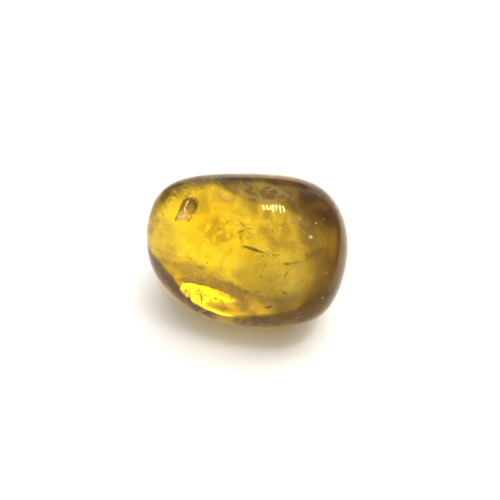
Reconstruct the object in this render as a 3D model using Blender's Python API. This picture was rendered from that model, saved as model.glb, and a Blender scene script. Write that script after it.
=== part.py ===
"""A tumbled pebble of honey calcite: one solid, worn round, that rests on a small flat underneath.

The pebble is the smooth meeting of thirteen worn faces, as a broken cleavage block is after weeks in a
tumbler. Each face is a plane at its own distance from the stone's heart, and one number says how round
the edges between them have become. Shallow chips and a cleavage pit are then taken out of it.

Metres, +Z up, +X along the stone. The origin is on the surface it rests on, under its middle.
"""

from math import cos, exp, radians, sin

import bmesh
import bpy
from mathutils import Matrix, Vector

MM = 0.001

# Worn faces: heading from +X towards +Y and tilt above the horizontal, in degrees, then distance from
# the heart. The X-wise faces are the ends, and the Y-wise ones the front and the back.
WORN_FACES = {
    "right_end": (14, -4, 14.0 * MM),
    "right_end_under": (0, -30, 12.9 * MM),
    "right_shoulder": (50, 25, 12.9 * MM),
    "right_front_slope": (-42, 53, 11.3 * MM),
    "front": (-89, 25, 10.2 * MM),
    "front_under": (-71, -56, 9.8 * MM),
    "left_front_under": (-131, -40, 11.5 * MM),
    "left_end": (-166, -3, 13.5 * MM),
    "left_shoulder": (166, 20, 13.1 * MM),
    "top": (112, 54, 9.15 * MM),
    "back": (68, -10, 10.2 * MM),
    "back_under": (75, -60, 8.3 * MM),
    "underside": (90, -80, 9.0 * MM),
}
EDGE_POWER = 5  # 2 would be egg-like, and 20 a block with sharp edges

RESTING_DEPTH = 7.5 * MM  # the heart's height over the flat that the stone rests on
FLAT_BLEND = 0.35 * MM  # how gently the flat runs out into the round underside

# Shallow chips that the tumbling has polished over: heading and tilt from the heart, width, depth.
CHIPS = (
    (-52, 47, 3.6 * MM, 0.16 * MM),
    (-18, 38, 2.6 * MM, 0.12 * MM),
    (-112, 8, 3.0 * MM, 0.12 * MM),
    (-60, -14, 2.4 * MM, 0.10 * MM),
    (150, 48, 3.4 * MM, 0.16 * MM),
    (72, 12, 3.8 * MM, 0.18 * MM),
    (28, -28, 2.8 * MM, 0.14 * MM),
    (-176, -22, 3.0 * MM, 0.14 * MM),
    (112, -6, 2.6 * MM, 0.12 * MM),
)

# The pit at the upper left of the front, where a small cleavage block fell out.
PIT_HEADING, PIT_TILT = -128.3, 47.9  # degrees, as seen from the heart
PIT_WIDTH = 1.5 * MM
PIT_HEIGHT = 2.6 * MM
PIT_DEPTH = 0.9 * MM
PIT_LEAN = 22  # degrees that its long walls lean to the right
PIT_SHEAR = 15  # degrees that a calcite cleavage block is out of square

SPHERE_SUBDIVISIONS = 5  # of an icosphere: 5120 triangles


def direction(heading, tilt):
    """The unit vector at a heading and a tilt, both in degrees."""
    heading, tilt = radians(heading), radians(tilt)
    return Vector((cos(heading) * cos(tilt), sin(heading) * cos(tilt), sin(tilt)))


FACE_PLANES = [(direction(h, t), distance) for h, t, distance in WORN_FACES.values()]
CHIP_CENTRES = [(direction(h, t), width, depth) for h, t, width, depth in CHIPS]


def worn_radius(way):
    """How far the worn surface is from the heart, along the unit vector way."""
    total = sum(max(0.0, normal.dot(way) / distance) ** EDGE_POWER for normal, distance in FACE_PLANES)
    return total ** (-1 / EDGE_POWER)


def chip_depth(way, radius):
    """How much the chips take off the surface there."""
    depth = 0.0
    for centre, width, deepest in CHIP_CENTRES:
        across = (way - centre).length * radius / (width / 2)
        depth += deepest * exp(-(across**4))
    return depth


def rest_flat(height):
    """A height over the resting plane, with what lies under the plane pressed flat onto it."""
    if height <= -FLAT_BLEND:
        return 0.0
    if height >= FLAT_BLEND:
        return height
    return (height + FLAT_BLEND) ** 2 / (4 * FLAT_BLEND)


def surface_point(way):
    """The point of the stone along the unit vector way, from the heart at a height of RESTING_DEPTH."""
    radius = worn_radius(way)
    point = way * (radius - chip_depth(way, radius))
    point.z = rest_flat(point.z + RESTING_DEPTH)
    return point


def stone_material():
    """Polished golden calcite, which light passes through."""
    material = bpy.data.materials.new("honey_calcite")
    material.use_nodes = True
    shader = material.node_tree.nodes["Principled BSDF"]
    shader.inputs["Base Color"].default_value = (0.80, 0.50, 0.07, 1)
    shader.inputs["Roughness"].default_value = 0.05
    shader.inputs["Metallic"].default_value = 0.0
    shader.inputs["Transmission Weight"].default_value = 0.8
    shader.inputs["IOR"].default_value = 1.6
    return material


def worn_block():
    """The whole pebble before the pit is cut, as an object whose box is centred on the origin."""
    mesh = bpy.data.meshes.new("tumbled_stone")
    bm = bmesh.new()
    bmesh.ops.create_icosphere(bm, subdivisions=SPHERE_SUBDIVISIONS, radius=1.0)
    for vertex in bm.verts:
        vertex.co = surface_point(vertex.co.normalized())
    low = Vector(min(v.co[axis] for v in bm.verts) for axis in range(3))
    high = Vector(max(v.co[axis] for v in bm.verts) for axis in range(3))
    to_origin = -(low + high) / 2
    to_origin.z = 0.0
    bmesh.ops.translate(bm, verts=bm.verts, vec=to_origin)
    bm.to_mesh(mesh)
    bm.free()
    stone = bpy.data.objects.new("tumbled_stone", mesh)
    bpy.context.scene.collection.objects.link(stone)
    return stone, to_origin + Vector((0, 0, RESTING_DEPTH))


def cleavage_pit(heart):
    """The cutter of the pit: a leaning, sheared block set into the stone from its surface."""
    way = direction(PIT_HEADING, PIT_TILT)
    mouth = heart + way * worn_radius(way)
    outward = direction(*WORN_FACES["front"][:2])
    right = Vector((0, 0, 1)).cross(outward).normalized()
    up = outward.cross(right)
    lean = Matrix.Rotation(radians(-PIT_LEAN), 4, "Z")
    shear = Matrix.Shear("XZ", 4, (sin(radians(PIT_SHEAR)), 0))
    size = Matrix.Diagonal((PIT_WIDTH, PIT_HEIGHT, 2 * PIT_DEPTH, 1))
    frame = Matrix((right, up, outward)).transposed().to_4x4()
    bm = bmesh.new()
    bmesh.ops.create_cube(bm, size=1.0, matrix=Matrix.Translation(mouth) @ frame @ lean @ shear @ size)
    mesh = bpy.data.meshes.new("pit_cutter")
    bm.to_mesh(mesh)
    bm.free()
    cutter = bpy.data.objects.new("pit_cutter", mesh)
    cutter.hide_render = True
    cutter.display_type = "WIRE"
    bpy.context.scene.collection.objects.link(cutter)
    return cutter


def build():
    for old in list(bpy.data.objects):
        bpy.data.objects.remove(old)
    stone, heart = worn_block()
    cut = stone.modifiers.new("Pit", "BOOLEAN")
    cut.operation = "DIFFERENCE"
    cut.object = cleavage_pit(heart)
    stone.data.materials.append(stone_material())
    stone.data.shade_smooth()
    stone.data.set_sharp_from_angle(angle=radians(35))


build()
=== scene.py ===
# %% [markdown]
# # A tumbled pebble of honey calcite
#
# The pebble is one natural piece: a golden, see-through calcite that weeks in a tumbling barrel have
# worn round and polished. Nothing was put together, so nothing moves. What gives it its look is light:
# the polished skin mirrors a lamp, the body drinks the blue out of what passes through it, and the
# hidden back and underside bend or mirror that light on its way.
#
# This script makes the stone, then what the crystal holds inside, and then the lamps and the floor.
# Sizes are in millimetres times MM, because Blender counts in metres.

# %% Load the fixed frame
from math import cos, pi, radians, sin, sqrt

import bmesh
import bpy
from mathutils import Matrix, Vector
from mathutils.bvhtree import BVHTree
from mathutils.geometry import barycentric_transform


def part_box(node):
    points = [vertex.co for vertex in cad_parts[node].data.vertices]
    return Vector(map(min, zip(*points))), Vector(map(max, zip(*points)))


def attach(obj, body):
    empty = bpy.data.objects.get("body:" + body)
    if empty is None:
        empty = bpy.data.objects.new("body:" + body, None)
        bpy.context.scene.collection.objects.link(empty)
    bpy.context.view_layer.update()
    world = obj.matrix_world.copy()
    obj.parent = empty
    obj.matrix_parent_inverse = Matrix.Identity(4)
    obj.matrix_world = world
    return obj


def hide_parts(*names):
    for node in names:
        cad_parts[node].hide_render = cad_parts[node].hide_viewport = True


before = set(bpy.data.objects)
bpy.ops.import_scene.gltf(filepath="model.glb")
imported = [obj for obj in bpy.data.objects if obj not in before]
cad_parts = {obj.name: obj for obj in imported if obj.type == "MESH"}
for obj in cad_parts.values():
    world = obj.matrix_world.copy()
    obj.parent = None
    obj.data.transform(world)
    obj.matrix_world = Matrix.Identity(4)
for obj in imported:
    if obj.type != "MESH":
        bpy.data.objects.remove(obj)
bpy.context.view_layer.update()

MM = 0.001
STONE_NODE = "tumbled_stone"
CAD_LOW, CAD_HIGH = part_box(STONE_NODE)
print("The solid measures", [round(side / MM, 2) for side in CAD_HIGH - CAD_LOW], "mm")

# %% [markdown]
# ## Helpers for node trees
#
# Geometry Nodes and materials are both trees of nodes, and the same sums are needed in both. Wiring
# each node by hand is slow to read, so a few helpers add a node and return its output, and that
# output can be used in the next sum, as in a spreadsheet.

# %% Node helpers
def feed(tree, socket, value):
    """Links a node's output into the socket, or sets the socket to a plain value."""
    if isinstance(value, bpy.types.NodeSocket):
        tree.links.new(value, socket)
    else:
        socket.default_value = value


def add(tree, kind, inputs=None, **settings):
    """Adds a node with its settings and feeds the named inputs."""
    node = tree.nodes.new(kind)
    for name, value in settings.items():
        setattr(node, name, value)
    for name, value in (inputs or {}).items():
        feed(tree, node.inputs[name], value)
    return node


# %% Sums on numbers and vectors
def calc(tree, operation, *values):
    """One sum on plain numbers."""
    node = add(tree, "ShaderNodeMath", operation=operation)
    for socket, value in zip(node.inputs, values):
        feed(tree, socket, value)
    return node.outputs[0]


def vector_calc(tree, operation, *values):
    """One sum on vectors. Dot products, lengths and distances give a number."""
    node = add(tree, "ShaderNodeVectorMath", operation=operation)
    for socket, value in zip(node.inputs, values):
        feed(tree, socket, value)
    gives_number = operation in ("DOT_PRODUCT", "LENGTH", "DISTANCE")
    return node.outputs["Value" if gives_number else "Vector"]


def stretch(tree, vector, scale):
    """A vector times a number."""
    node = add(tree, "ShaderNodeVectorMath", {"Scale": scale}, operation="SCALE")
    feed(tree, node.inputs[0], vector)
    return node.outputs["Vector"]


# %% Fades and clouds
def fade(tree, value, start, end, low=0.0, high=1.0):
    """Goes smoothly from low to high while value goes from start to end."""
    inputs = {"Value": value, "From Min": start, "From Max": end, "To Min": low, "To Max": high}
    return add(tree, "ShaderNodeMapRange", inputs, interpolation_type="SMOOTHSTEP").outputs["Result"]


def noise(tree, where, size, detail=2.0, kind="FBM", **inputs):
    """Cloudy noise, about 0 to 1, whose lumps are size across."""
    values = {"Vector": where, "Scale": calc(tree, "DIVIDE", 1.0, size), "Detail": detail, **inputs}
    return add(tree, "ShaderNodeTexNoise", values, noise_type=kind).outputs[0]


# %% [markdown]
# A Geometry Nodes tree takes a mesh and a few named sizes and gives a mesh back. Once it has run, its
# result is kept as a plain mesh, because the copies that a tree makes of a flake aren't exported.

# %% Geometry Nodes helpers
def new_geometry_tree(name, sizes):
    """An empty Geometry Nodes tree with one named input for each size in the dictionary."""
    tree = bpy.data.node_groups.new(name, "GeometryNodeTree")
    tree.interface.new_socket(name="Geometry", in_out="INPUT", socket_type="NodeSocketGeometry")
    tree.interface.new_socket(name="Geometry", in_out="OUTPUT", socket_type="NodeSocketGeometry")
    kinds = {int: "NodeSocketInt", float: "NodeSocketFloat", bpy.types.Material: "NodeSocketMaterial"}
    for label, value in sizes.items():
        kind = kinds[type(value)]
        tree.interface.new_socket(name=label, in_out="INPUT", socket_type=kind)
    return tree, tree.nodes.new("NodeGroupInput").outputs


def close_tree(tree, geometry, material):
    """Ends a tree: real faces instead of instances, in their material."""
    real = add(tree, "GeometryNodeRealizeInstances", {"Geometry": geometry}).outputs[0]
    dressed = add(tree, "GeometryNodeSetMaterial", {"Geometry": real, "Material": material}).outputs[0]
    tree.links.new(dressed, tree.nodes.new("NodeGroupOutput").inputs["Geometry"])


# %% Run a tree
def put(name, data):
    """A new object in the scene."""
    piece = bpy.data.objects.new(name, data)
    bpy.context.scene.collection.objects.link(piece)
    return piece


def grow(name, tree, sizes, start_mesh=None):
    """Runs a tree on a mesh and returns the result as an object with a plain mesh."""
    holder = put(name + "_holder", start_mesh or bpy.data.meshes.new(name + "_start"))
    modifier = holder.modifiers.new("Grow", "NODES")
    modifier.node_group = tree
    for item in tree.interface.items_tree:
        if item.name in sizes:
            modifier[item.identifier] = sizes[item.name]
    evaluated = holder.evaluated_get(bpy.context.evaluated_depsgraph_get())
    result = bpy.data.meshes.new_from_object(evaluated)
    result.name = name
    # The start mesh leaves an empty material slot in front, so the used ones are put in afresh.
    used = [material for material in result.materials if material]
    result.materials.clear()
    for material in used:
        result.materials.append(material)
    for face in result.polygons:
        face.material_index = 0
    bpy.data.objects.remove(holder)
    print(f"{name}: {len(result.polygons)} faces")
    return put(name, result)


# %% [markdown]
# ## The worn shape
#
# A cleavage block that tumbles in a barrel loses its corners first, then its edges, while its faces
# stay nearly flat for a long time. One could sculpt that, but there is a rule for it. Each worn face
# is a plane at its own distance from the heart of the stone. In any direction, every plane says how
# far out it would let the stone reach, and the surface is the soft minimum of them all:
# 1 / (sum of (facing / distance) to the power p) to the power 1 / p. With p at 2 the stone would be
# an egg, and at 20 a block. The tree below works that out for every point of a fine sphere, and each
# worn face's distance is an input that can be changed.

# %% The worn faces
WORN_FACES = {
    "right_end": (14, -4, 14.0 * MM),
    "right_end_under": (0, -30, 12.9 * MM),
    "right_shoulder": (50, 25, 12.9 * MM),
    "right_front_slope": (-42, 53, 11.3 * MM),
    "front": (-89, 25, 10.2 * MM),
    "front_under": (-71, -56, 9.8 * MM),
    "left_front_under": (-131, -40, 11.5 * MM),
    "left_end": (-166, -3, 13.5 * MM),
    "left_shoulder": (166, 20, 13.1 * MM),
    "top": (112, 54, 9.15 * MM),
    "back": (68, -10, 10.2 * MM),
    "back_under": (75, -60, 8.3 * MM),
    "underside": (90, -80, 9.0 * MM),
}  # heading from +X towards +Y, tilt above the horizontal, distance from the heart
EDGE_POWER = 5.0
RESTING_DEPTH = 7.5 * MM  # the heart's height over the flat that the stone rests on
FLAT_BLEND = 0.35 * MM  # how gently the flat runs out into the round underside


def direction(heading, tilt):
    """The unit vector at a heading and a tilt, both in degrees."""
    heading, tilt = radians(heading), radians(tilt)
    return Vector((cos(heading) * cos(tilt), sin(heading) * cos(tilt), sin(tilt)))


print(len(WORN_FACES), "worn faces")

# %% [markdown]
# Shallow chips were there before the polishing and have been polished over, so they are soft dents.
# A finer waviness comes from the grain of the tumbling grit. It is only hundredths of a millimetre
# high, but it bends what is seen through the stone, and without it the stone would look like glass.

# %% Sizes of the dents and waves
CHIPS = (
    (-52, 47, 3.6 * MM, 0.01 * MM),
    (-18, 38, 2.6 * MM, 0.02 * MM),
    (-112, 8, 3.0 * MM, 0.12 * MM),
    (-60, -14, 2.4 * MM, 0.10 * MM),
    (150, 48, 3.4 * MM, 0.16 * MM),
    (72, 12, 3.8 * MM, 0.18 * MM),
    (28, -28, 2.8 * MM, 0.14 * MM),
    (-176, -22, 3.0 * MM, 0.14 * MM),
    (112, -6, 2.6 * MM, 0.02 * MM),
    (128, -62, 5.0 * MM, 0.05 * MM),
)  # heading, tilt, width, depth
STONE_SIZES = {
    "Sphere level": 7,
    "Edge power": EDGE_POWER,
    "Resting depth": RESTING_DEPTH,
    "Flat blend": FLAT_BLEND,
    "Wave size": 5.0 * MM,
    "Wave height": 0.012 * MM,
    "Ripple size": 1.2 * MM,
    "Ripple height": 0.001 * MM,
} | {name: distance for name, (heading, tilt, distance) in WORN_FACES.items()}
print(len(CHIPS), "chips, the deepest", round(max(chip[3] for chip in CHIPS) / MM, 2), "mm")


# %% The worn surface as sums
def soft_minimum(tree, sizes, way):
    """How far the worn surface is from the heart, along the unit vector way."""
    total = 0.0
    for name, (heading, tilt, distance) in WORN_FACES.items():
        facing = vector_calc(tree, "DOT_PRODUCT", way, direction(heading, tilt))
        reach = calc(tree, "DIVIDE", calc(tree, "MAXIMUM", facing, 0.0), sizes[name])
        total = calc(tree, "ADD", total, calc(tree, "POWER", reach, sizes["Edge power"]))
    return calc(tree, "POWER", total, calc(tree, "DIVIDE", -1.0, sizes["Edge power"]))


def chip_depth(tree, way, radius):
    """How much the chips take off the surface there."""
    depth = 0.0
    for heading, tilt, width, deepest in CHIPS:
        apart = vector_calc(tree, "DISTANCE", way, direction(heading, tilt))
        across = calc(tree, "DIVIDE", calc(tree, "MULTIPLY", apart, radius), width / 2)
        falloff = calc(tree, "EXPONENT", calc(tree, "MULTIPLY", calc(tree, "POWER", across, 4.0), -1.0))
        depth = calc(tree, "MULTIPLY_ADD", falloff, deepest, depth)
    return depth


def rest_flat(tree, height, blend):
    """A height over the resting plane, with what lies under the plane pressed flat onto it."""
    lifted = calc(tree, "MAXIMUM", calc(tree, "ADD", height, blend), 0.0)
    curve = calc(tree, "DIVIDE", calc(tree, "POWER", lifted, 2.0), calc(tree, "MULTIPLY", blend, 4.0))
    clear = calc(tree, "GREATER_THAN", height, blend)
    rest = calc(tree, "MULTIPLY", curve, calc(tree, "SUBTRACT", 1.0, clear))
    return calc(tree, "MULTIPLY_ADD", height, clear, rest)


# %% [markdown]
# The tree takes each point of a fine sphere, works out how far it may reach, takes off the chips,
# presses what lies under the resting plane flat, and lays the waves on last. The flat stays smooth.

# %% The stone's tree
WAVES_START = 1.5 * MM  # height over the resting flat above which the skin is wavy


def waves(tree, point, sizes):
    """The height of the waviness at a point of the skin."""
    broad = calc(tree, "SUBTRACT", noise(tree, point, sizes["Wave size"]), 0.5)
    fine = calc(tree, "SUBTRACT", noise(tree, point, sizes["Ripple size"]), 0.5)
    height = calc(tree, "MULTIPLY", broad, sizes["Wave height"])
    height = calc(tree, "MULTIPLY_ADD", fine, sizes["Ripple height"], height)
    up = add(tree, "ShaderNodeSeparateXYZ", {"Vector": point}).outputs["Z"]
    return calc(tree, "MULTIPLY", height, fade(tree, up, 0.0, WAVES_START))


def worn_stone_tree():
    """A fine sphere, every point of which is pushed to the worn surface."""
    tree, sizes = new_geometry_tree("worn_stone", STONE_SIZES)
    sphere = add(tree, "GeometryNodeMeshIcoSphere", {"Radius": 1.0, "Subdivisions": sizes["Sphere level"]})
    place = tree.nodes.new("GeometryNodeInputPosition").outputs[0]
    way = vector_calc(tree, "NORMALIZE", place)
    radius = soft_minimum(tree, sizes, way)
    radius = calc(tree, "SUBTRACT", radius, chip_depth(tree, way, radius))
    parts = add(tree, "ShaderNodeSeparateXYZ", {"Vector": stretch(tree, way, radius)}).outputs
    height = calc(tree, "ADD", parts["Z"], sizes["Resting depth"])
    flat = {"X": parts["X"], "Y": parts["Y"], "Z": rest_flat(tree, height, sizes["Flat blend"])}
    point = add(tree, "ShaderNodeCombineXYZ", flat).outputs[0]
    point = vector_calc(tree, "ADD", point, stretch(tree, way, waves(tree, point, sizes)))
    moved = add(tree, "GeometryNodeSetPosition", {"Geometry": sphere.outputs["Mesh"], "Position": point})
    smooth = add(tree, "GeometryNodeSetShadeSmooth", {"Geometry": moved.outputs[0]})
    close_tree(tree, smooth.outputs[0], CALCITE)
    return tree


CALCITE = bpy.data.materials.new("clear_honey_calcite")
stone = grow("polished_calcite", worn_stone_tree(), STONE_SIZES)

# %% [markdown]
# The tree works from the heart of the stone, but the frame's origin is under the middle of its box.
# Measuring both boxes gives the step between them, and the points themselves are moved by it, so that
# the finished object stays at the origin.

# %% Set the stone where the solid is
corners = [vertex.co for vertex in stone.data.vertices]
grown_low = Vector(min(corner[axis] for corner in corners) for axis in range(3))
grown_high = Vector(max(corner[axis] for corner in corners) for axis in range(3))
to_frame = (CAD_LOW + CAD_HIGH - grown_low - grown_high) / 2
to_frame.z = CAD_LOW.z - grown_low.z
stone.data.transform(Matrix.Translation(to_frame))
HEART = to_frame + Vector((0, 0, RESTING_DEPTH))
print("Heart of the stone at", [round(value / MM, 2) for value in HEART], "mm")

# %% [markdown]
# ## The camera
#
# The stone is seen from the front, a little from the right, and from well above, with a longish lens
# from close by. The lens is worked out from how wide a strip it shows at the stone.

# %% Camera
SENSOR_WIDTH = 36
VIEW_HEADING = 20  # degrees to the right of the front
VIEW_TILT = 38  # degrees above the horizontal
VIEW_DISTANCE = 95 * MM
VIEW_WIDTH = 63.3 * MM  # the width that the picture shows at the middle of the stone
VIEW_MIDDLE = HEART + Vector((0.16, 0, -0.58)) * MM

to_camera = direction(VIEW_HEADING - 90, VIEW_TILT)
camera_data = bpy.data.cameras.new("camera")
camera_data.sensor_width = SENSOR_WIDTH
camera_data.lens = SENSOR_WIDTH * VIEW_DISTANCE / VIEW_WIDTH
camera_data.clip_start = 5 * MM
camera = put("camera", camera_data)
camera.location = VIEW_MIDDLE + to_camera * VIEW_DISTANCE
camera.rotation_euler = to_camera.to_track_quat("Z", "Y").to_euler()
bpy.context.scene.camera = camera
print("Lens", round(camera_data.lens, 1), "mm")

# %% [markdown]
# ## Finding places
#
# Flaws are easiest to place as they show from the front: so far across, so far up, so deep below the
# polish. A straight line would miss, because light turns where it enters the stone. The helpers below
# follow the light instead: to the surface, bent by calcite's refractive index, and on into the stone.

# %% Rays to the stone
CALCITE_INDEX = 1.6
VIEW_RIGHT = camera.rotation_euler.to_matrix() @ Vector((1, 0, 0))
VIEW_UP = camera.rotation_euler.to_matrix() @ Vector((0, 1, 0))
bpy.context.view_layer.update()
skin = bmesh.new()
skin.from_mesh(stone.data)
skin.normal_update()
skin.faces.ensure_lookup_table()
skin_tree = BVHTree.FromBMesh(skin)


def smooth_normal(point, face_index):
    """The surface normal at a point of a face, blended between its corners."""
    corners = skin.faces[face_index].verts
    return barycentric_transform(
        point, *[corner.co for corner in corners], *[corner.normal for corner in corners]
    ).normalized()


def bend(ray, normal):
    """The way on of a ray that enters the stone."""
    ratio = 1 / CALCITE_INDEX
    facing = -ray.dot(normal)
    return (ray * ratio + normal * (ratio * facing - sqrt(1 - ratio**2 * (1 - facing**2)))).normalized()


def sight(across, up):
    """Where the sight line through a place meets the stone, the normal there, and the sight line."""
    aim = VIEW_MIDDLE + (VIEW_RIGHT * across + VIEW_UP * up) * MM
    ray = (aim - camera.location).normalized()
    point, _, face_index, _ = skin_tree.ray_cast(camera.location, ray)
    return point, point and smooth_normal(point, face_index), ray


# %% [markdown]
# A place just beside the stone is drawn in to its outline, so that a flaw may run right up to it. Where
# the skin turns away from the camera, a place also gets a share below one, and flaws thin out by it.

# %% Places on and in the stone
HALVINGS = 10
INSET = 0.99  # of the way to the outline, where a drawn-in place stays
FACING_START = 0.14  # how fully the skin has to face the camera for a flaw to start
FACING_SPAN = 0.16  # and how much more for it to be full


def drawn_in(across, up):
    """The place itself, or if it is beside the stone, the last on the way there from the middle."""
    outside = Vector((across, up))
    if sight(*outside)[0] is not None:
        return outside
    inside = Vector((0, 0))
    for _ in range(HALVINGS):
        half_way = (inside + outside) / 2
        if sight(*half_way)[0] is None:
            outside = half_way
        else:
            inside = half_way
    return inside * INSET


def in_view(across, up):
    """For a place in the view: the skin there, the way on into the stone, and its share."""
    point, normal, ray = sight(*drawn_in(across, up))
    share = (-normal.dot(ray) - FACING_START) / FACING_SPAN
    return point, bend(ray, normal), max(0.0, min(1.0, share))


def from_heart(heading, tilt):
    """The same for a direction from the heart, which also reaches the sides that don't show."""
    way = direction(heading, tilt)
    return skin_tree.ray_cast(HEART, way)[0], -way, 1.0


def seen_at(across, up, depth=0.0):
    """The point that shows across and up, in millimetres from the middle, at a depth under the skin."""
    point, inward, share = in_view(across, up)
    return point + inward * depth * MM


print("Middle of the front at", [round(value / MM, 1) for value in seen_at(0, 0)], "mm")

# %% [markdown]
# ## The cleavage pit
#
# Calcite splits along flat directions, so where a knock has broken a crumb out of it, the hole has
# straight edges and slanting, flat floors, not a round bottom. Prisms cut it out of the finished skin
# with Boolean modifiers: a shallow three-cornered shelf, the deep hole beside it, and two small
# splinters. Each prism is given by its corners as they show from the front, each with its own depth.

# %% Faces between rows, and closed pieces
def stitch(bm, rows, closed=False):
    """Faces between neighbouring rows of corners. Closed rows run round to their start."""
    if closed:
        rows = [row + row[:1] for row in rows]
    for first, second in zip(rows, rows[1:]):
        for number in range(len(first) - 1):
            bm.faces.new((first[number], first[number + 1], second[number + 1], second[number]))


def closed_piece(name, bm, finish):
    """Turns a closed bmesh into an object in one finish."""
    bmesh.ops.recalc_face_normals(bm, faces=bm.faces)
    mesh = bpy.data.meshes.new(name)
    bm.to_mesh(mesh)
    bm.free()
    mesh.materials.append(finish)
    return put(name, mesh)


# %% The prisms that cut the pit
PIT_PRISMS = (
    ((-8.25, 6.50, 0.12), (-7.65, 6.70, 0.18), (-8.00, 5.40, 0.30), (-7.92, 3.86, 0.32),
     (-9.20, 3.74, 0.12), (-9.38, 4.10, 0.08)),
    ((-7.52, 6.64, 0.45), (-6.95, 6.40, 0.75), (-6.77, 5.57, 0.90), (-6.95, 4.62, 0.80),
     (-7.52, 4.30, 0.60), (-8.02, 4.70, 0.45), (-8.10, 5.70, 0.50)),
    ((-6.26, 6.52, 0.05), (-6.62, 5.50, 0.28), (-6.92, 5.10, 0.34), (-6.80, 5.75, 0.28)),
    ((-7.45, 4.26, 0.22), (-7.30, 4.06, 0.16), (-7.84, 3.48, 0.10), (-8.02, 3.68, 0.26)),
)  # corners of each prism: across, up and depth in millimetres
PIT_OUT = direction(*WORN_FACES["front"][:2])
LID_HEIGHT = 1.0 * MM  # how far a prism stands out over the skin


def pit_prism(corners):
    """A cutter whose outline shows as the corners do, and whose floor slants from depth to depth."""
    bm = bmesh.new()
    skin_points = [seen_at(across, up) for across, up, depth in corners]
    depths = [depth * MM for across, up, depth in corners]
    floor = [bm.verts.new(point - PIT_OUT * depth) for point, depth in zip(skin_points, depths)]
    lid = [bm.verts.new(point + PIT_OUT * LID_HEIGHT) for point in skin_points]
    stitch(bm, [floor, lid], closed=True)
    bm.faces.new(floor)
    bm.faces.new(reversed(lid))
    bmesh.ops.triangulate(bm, faces=bm.faces)
    return closed_piece("pit_cutter", bm, CALCITE)


# %% Cut the pit
SHARP_ANGLE = radians(35)  # edges sharper than this stay crisp

cutters = [pit_prism(corners) for corners in PIT_PRISMS]
for cutter in cutters:
    cut = stone.modifiers.new("Pit", "BOOLEAN")
    cut.operation = "DIFFERENCE"
    cut.object = cutter
cut_stone = bpy.data.meshes.new_from_object(stone.evaluated_get(bpy.context.evaluated_depsgraph_get()))
stone.modifiers.clear()
stone.data = cut_stone
for cutter in cutters:
    bpy.data.objects.remove(cutter)
stone.data.set_sharp_from_angle(angle=SHARP_ANGLE)
print("Faces after the pit:", len(stone.data.polygons))

# %% [markdown]
# The pit's walls were never polished, and iron stained them. To tell them from the skin, every point
# stores how far it lies under the uncut surface, as an attribute that the material can read.

# %% Mark what lies under the polish
below = stone.data.attributes.new("below_polish", "FLOAT", "POINT")
for vertex in stone.data.vertices:
    # find_nearest gives the nearest point, its normal, its face and its distance.
    below.data[vertex.index].value = skin_tree.find_nearest(vertex.co)[3]
print("Deepest point of the pit", round(max(item.value for item in below.data) / MM, 2), "mm")

# %% [markdown]
# ## The calcite's material
#
# Clear stone needs three things: a skin that bends light (the refractive index), a polish (the
# roughness), and a body that absorbs. The gold is not painted on. It is a plain Volume Absorption,
# which takes blue away fast, green a little and red hardly at all, so that thin edges are pale, the
# middle is gold and the thickest parts are brown.
#
# The polish is not the same everywhere. The barrel reached the back half of the underside least, so
# it is nearly matt there. The pit is rough: its deep hole is rusty, and its shelf is crumbled at the
# lower end and clear at the upper.

# %% Material helpers
NOISE_MIDDLE = (0.3, 0.7)  # the range of a noise in which nearly all of it lies


def new_material(material):
    """A material's node tree, its Principled shader and the object coordinates."""
    material.use_nodes = True
    tree = material.node_tree
    where = tree.nodes.new("ShaderNodeTexCoord").outputs["Object"]
    return tree, tree.nodes["Principled BSDF"], where


def blend_colours(tree, share, first, second):
    """The colour at a share of the way from the first to the second."""
    node = add(tree, "ShaderNodeMix", data_type="RGBA")
    for label, value in (("Factor", share), ("A", first), ("B", second)):
        # The node keeps number, vector and colour inputs under the same labels, and the last is colour.
        sockets = [socket for socket in node.inputs if socket.name == label and socket.enabled]
        feed(tree, sockets[-1], value)
    return [socket for socket in node.outputs if socket.enabled][-1]


# %% The polish
POLISH = ((0.0, 0.06), (7.0, 0.012))  # height in millimetres, roughness
POLISH_SPAN = 10.0  # millimetres that the ramp covers
MATT_ROUGHNESS = 0.24  # of the underside's back half, which the polish reached least
MATT_HEIGHT = (4.5 * MM, 7.0 * MM)  # where it ends on the way up
MATT_REAR = (0.2 * MM, 1.6 * MM)  # where it starts on the way to the back
MATT_RIGHT = (-2 * MM, MM)  # and where on the way to the right


def polish_by_height(tree, height):
    """The roughness, from a ramp that runs up the stone."""
    ramp = add(tree, "ShaderNodeValToRGB", {"Fac": calc(tree, "DIVIDE", height, POLISH_SPAN * MM)})
    stops = ramp.color_ramp.elements
    for stop, (level, roughness) in zip(stops, POLISH):
        stop.position = level / POLISH_SPAN
        stop.color = (roughness, roughness, roughness, 1)
    return ramp.outputs["Color"]


def polish(tree, place):
    """The roughness of the skin: the ramp, or the matt underside where that is rougher."""
    low = fade(tree, place["Z"], *MATT_HEIGHT, MATT_ROUGHNESS, 0.0)
    rear = fade(tree, place["Y"], *MATT_REAR)
    right = fade(tree, place["X"], *MATT_RIGHT)
    matt = calc(tree, "MULTIPLY", calc(tree, "MULTIPLY", rear, right), low)
    return calc(tree, "MAXIMUM", polish_by_height(tree, place["Z"]), matt)


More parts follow.
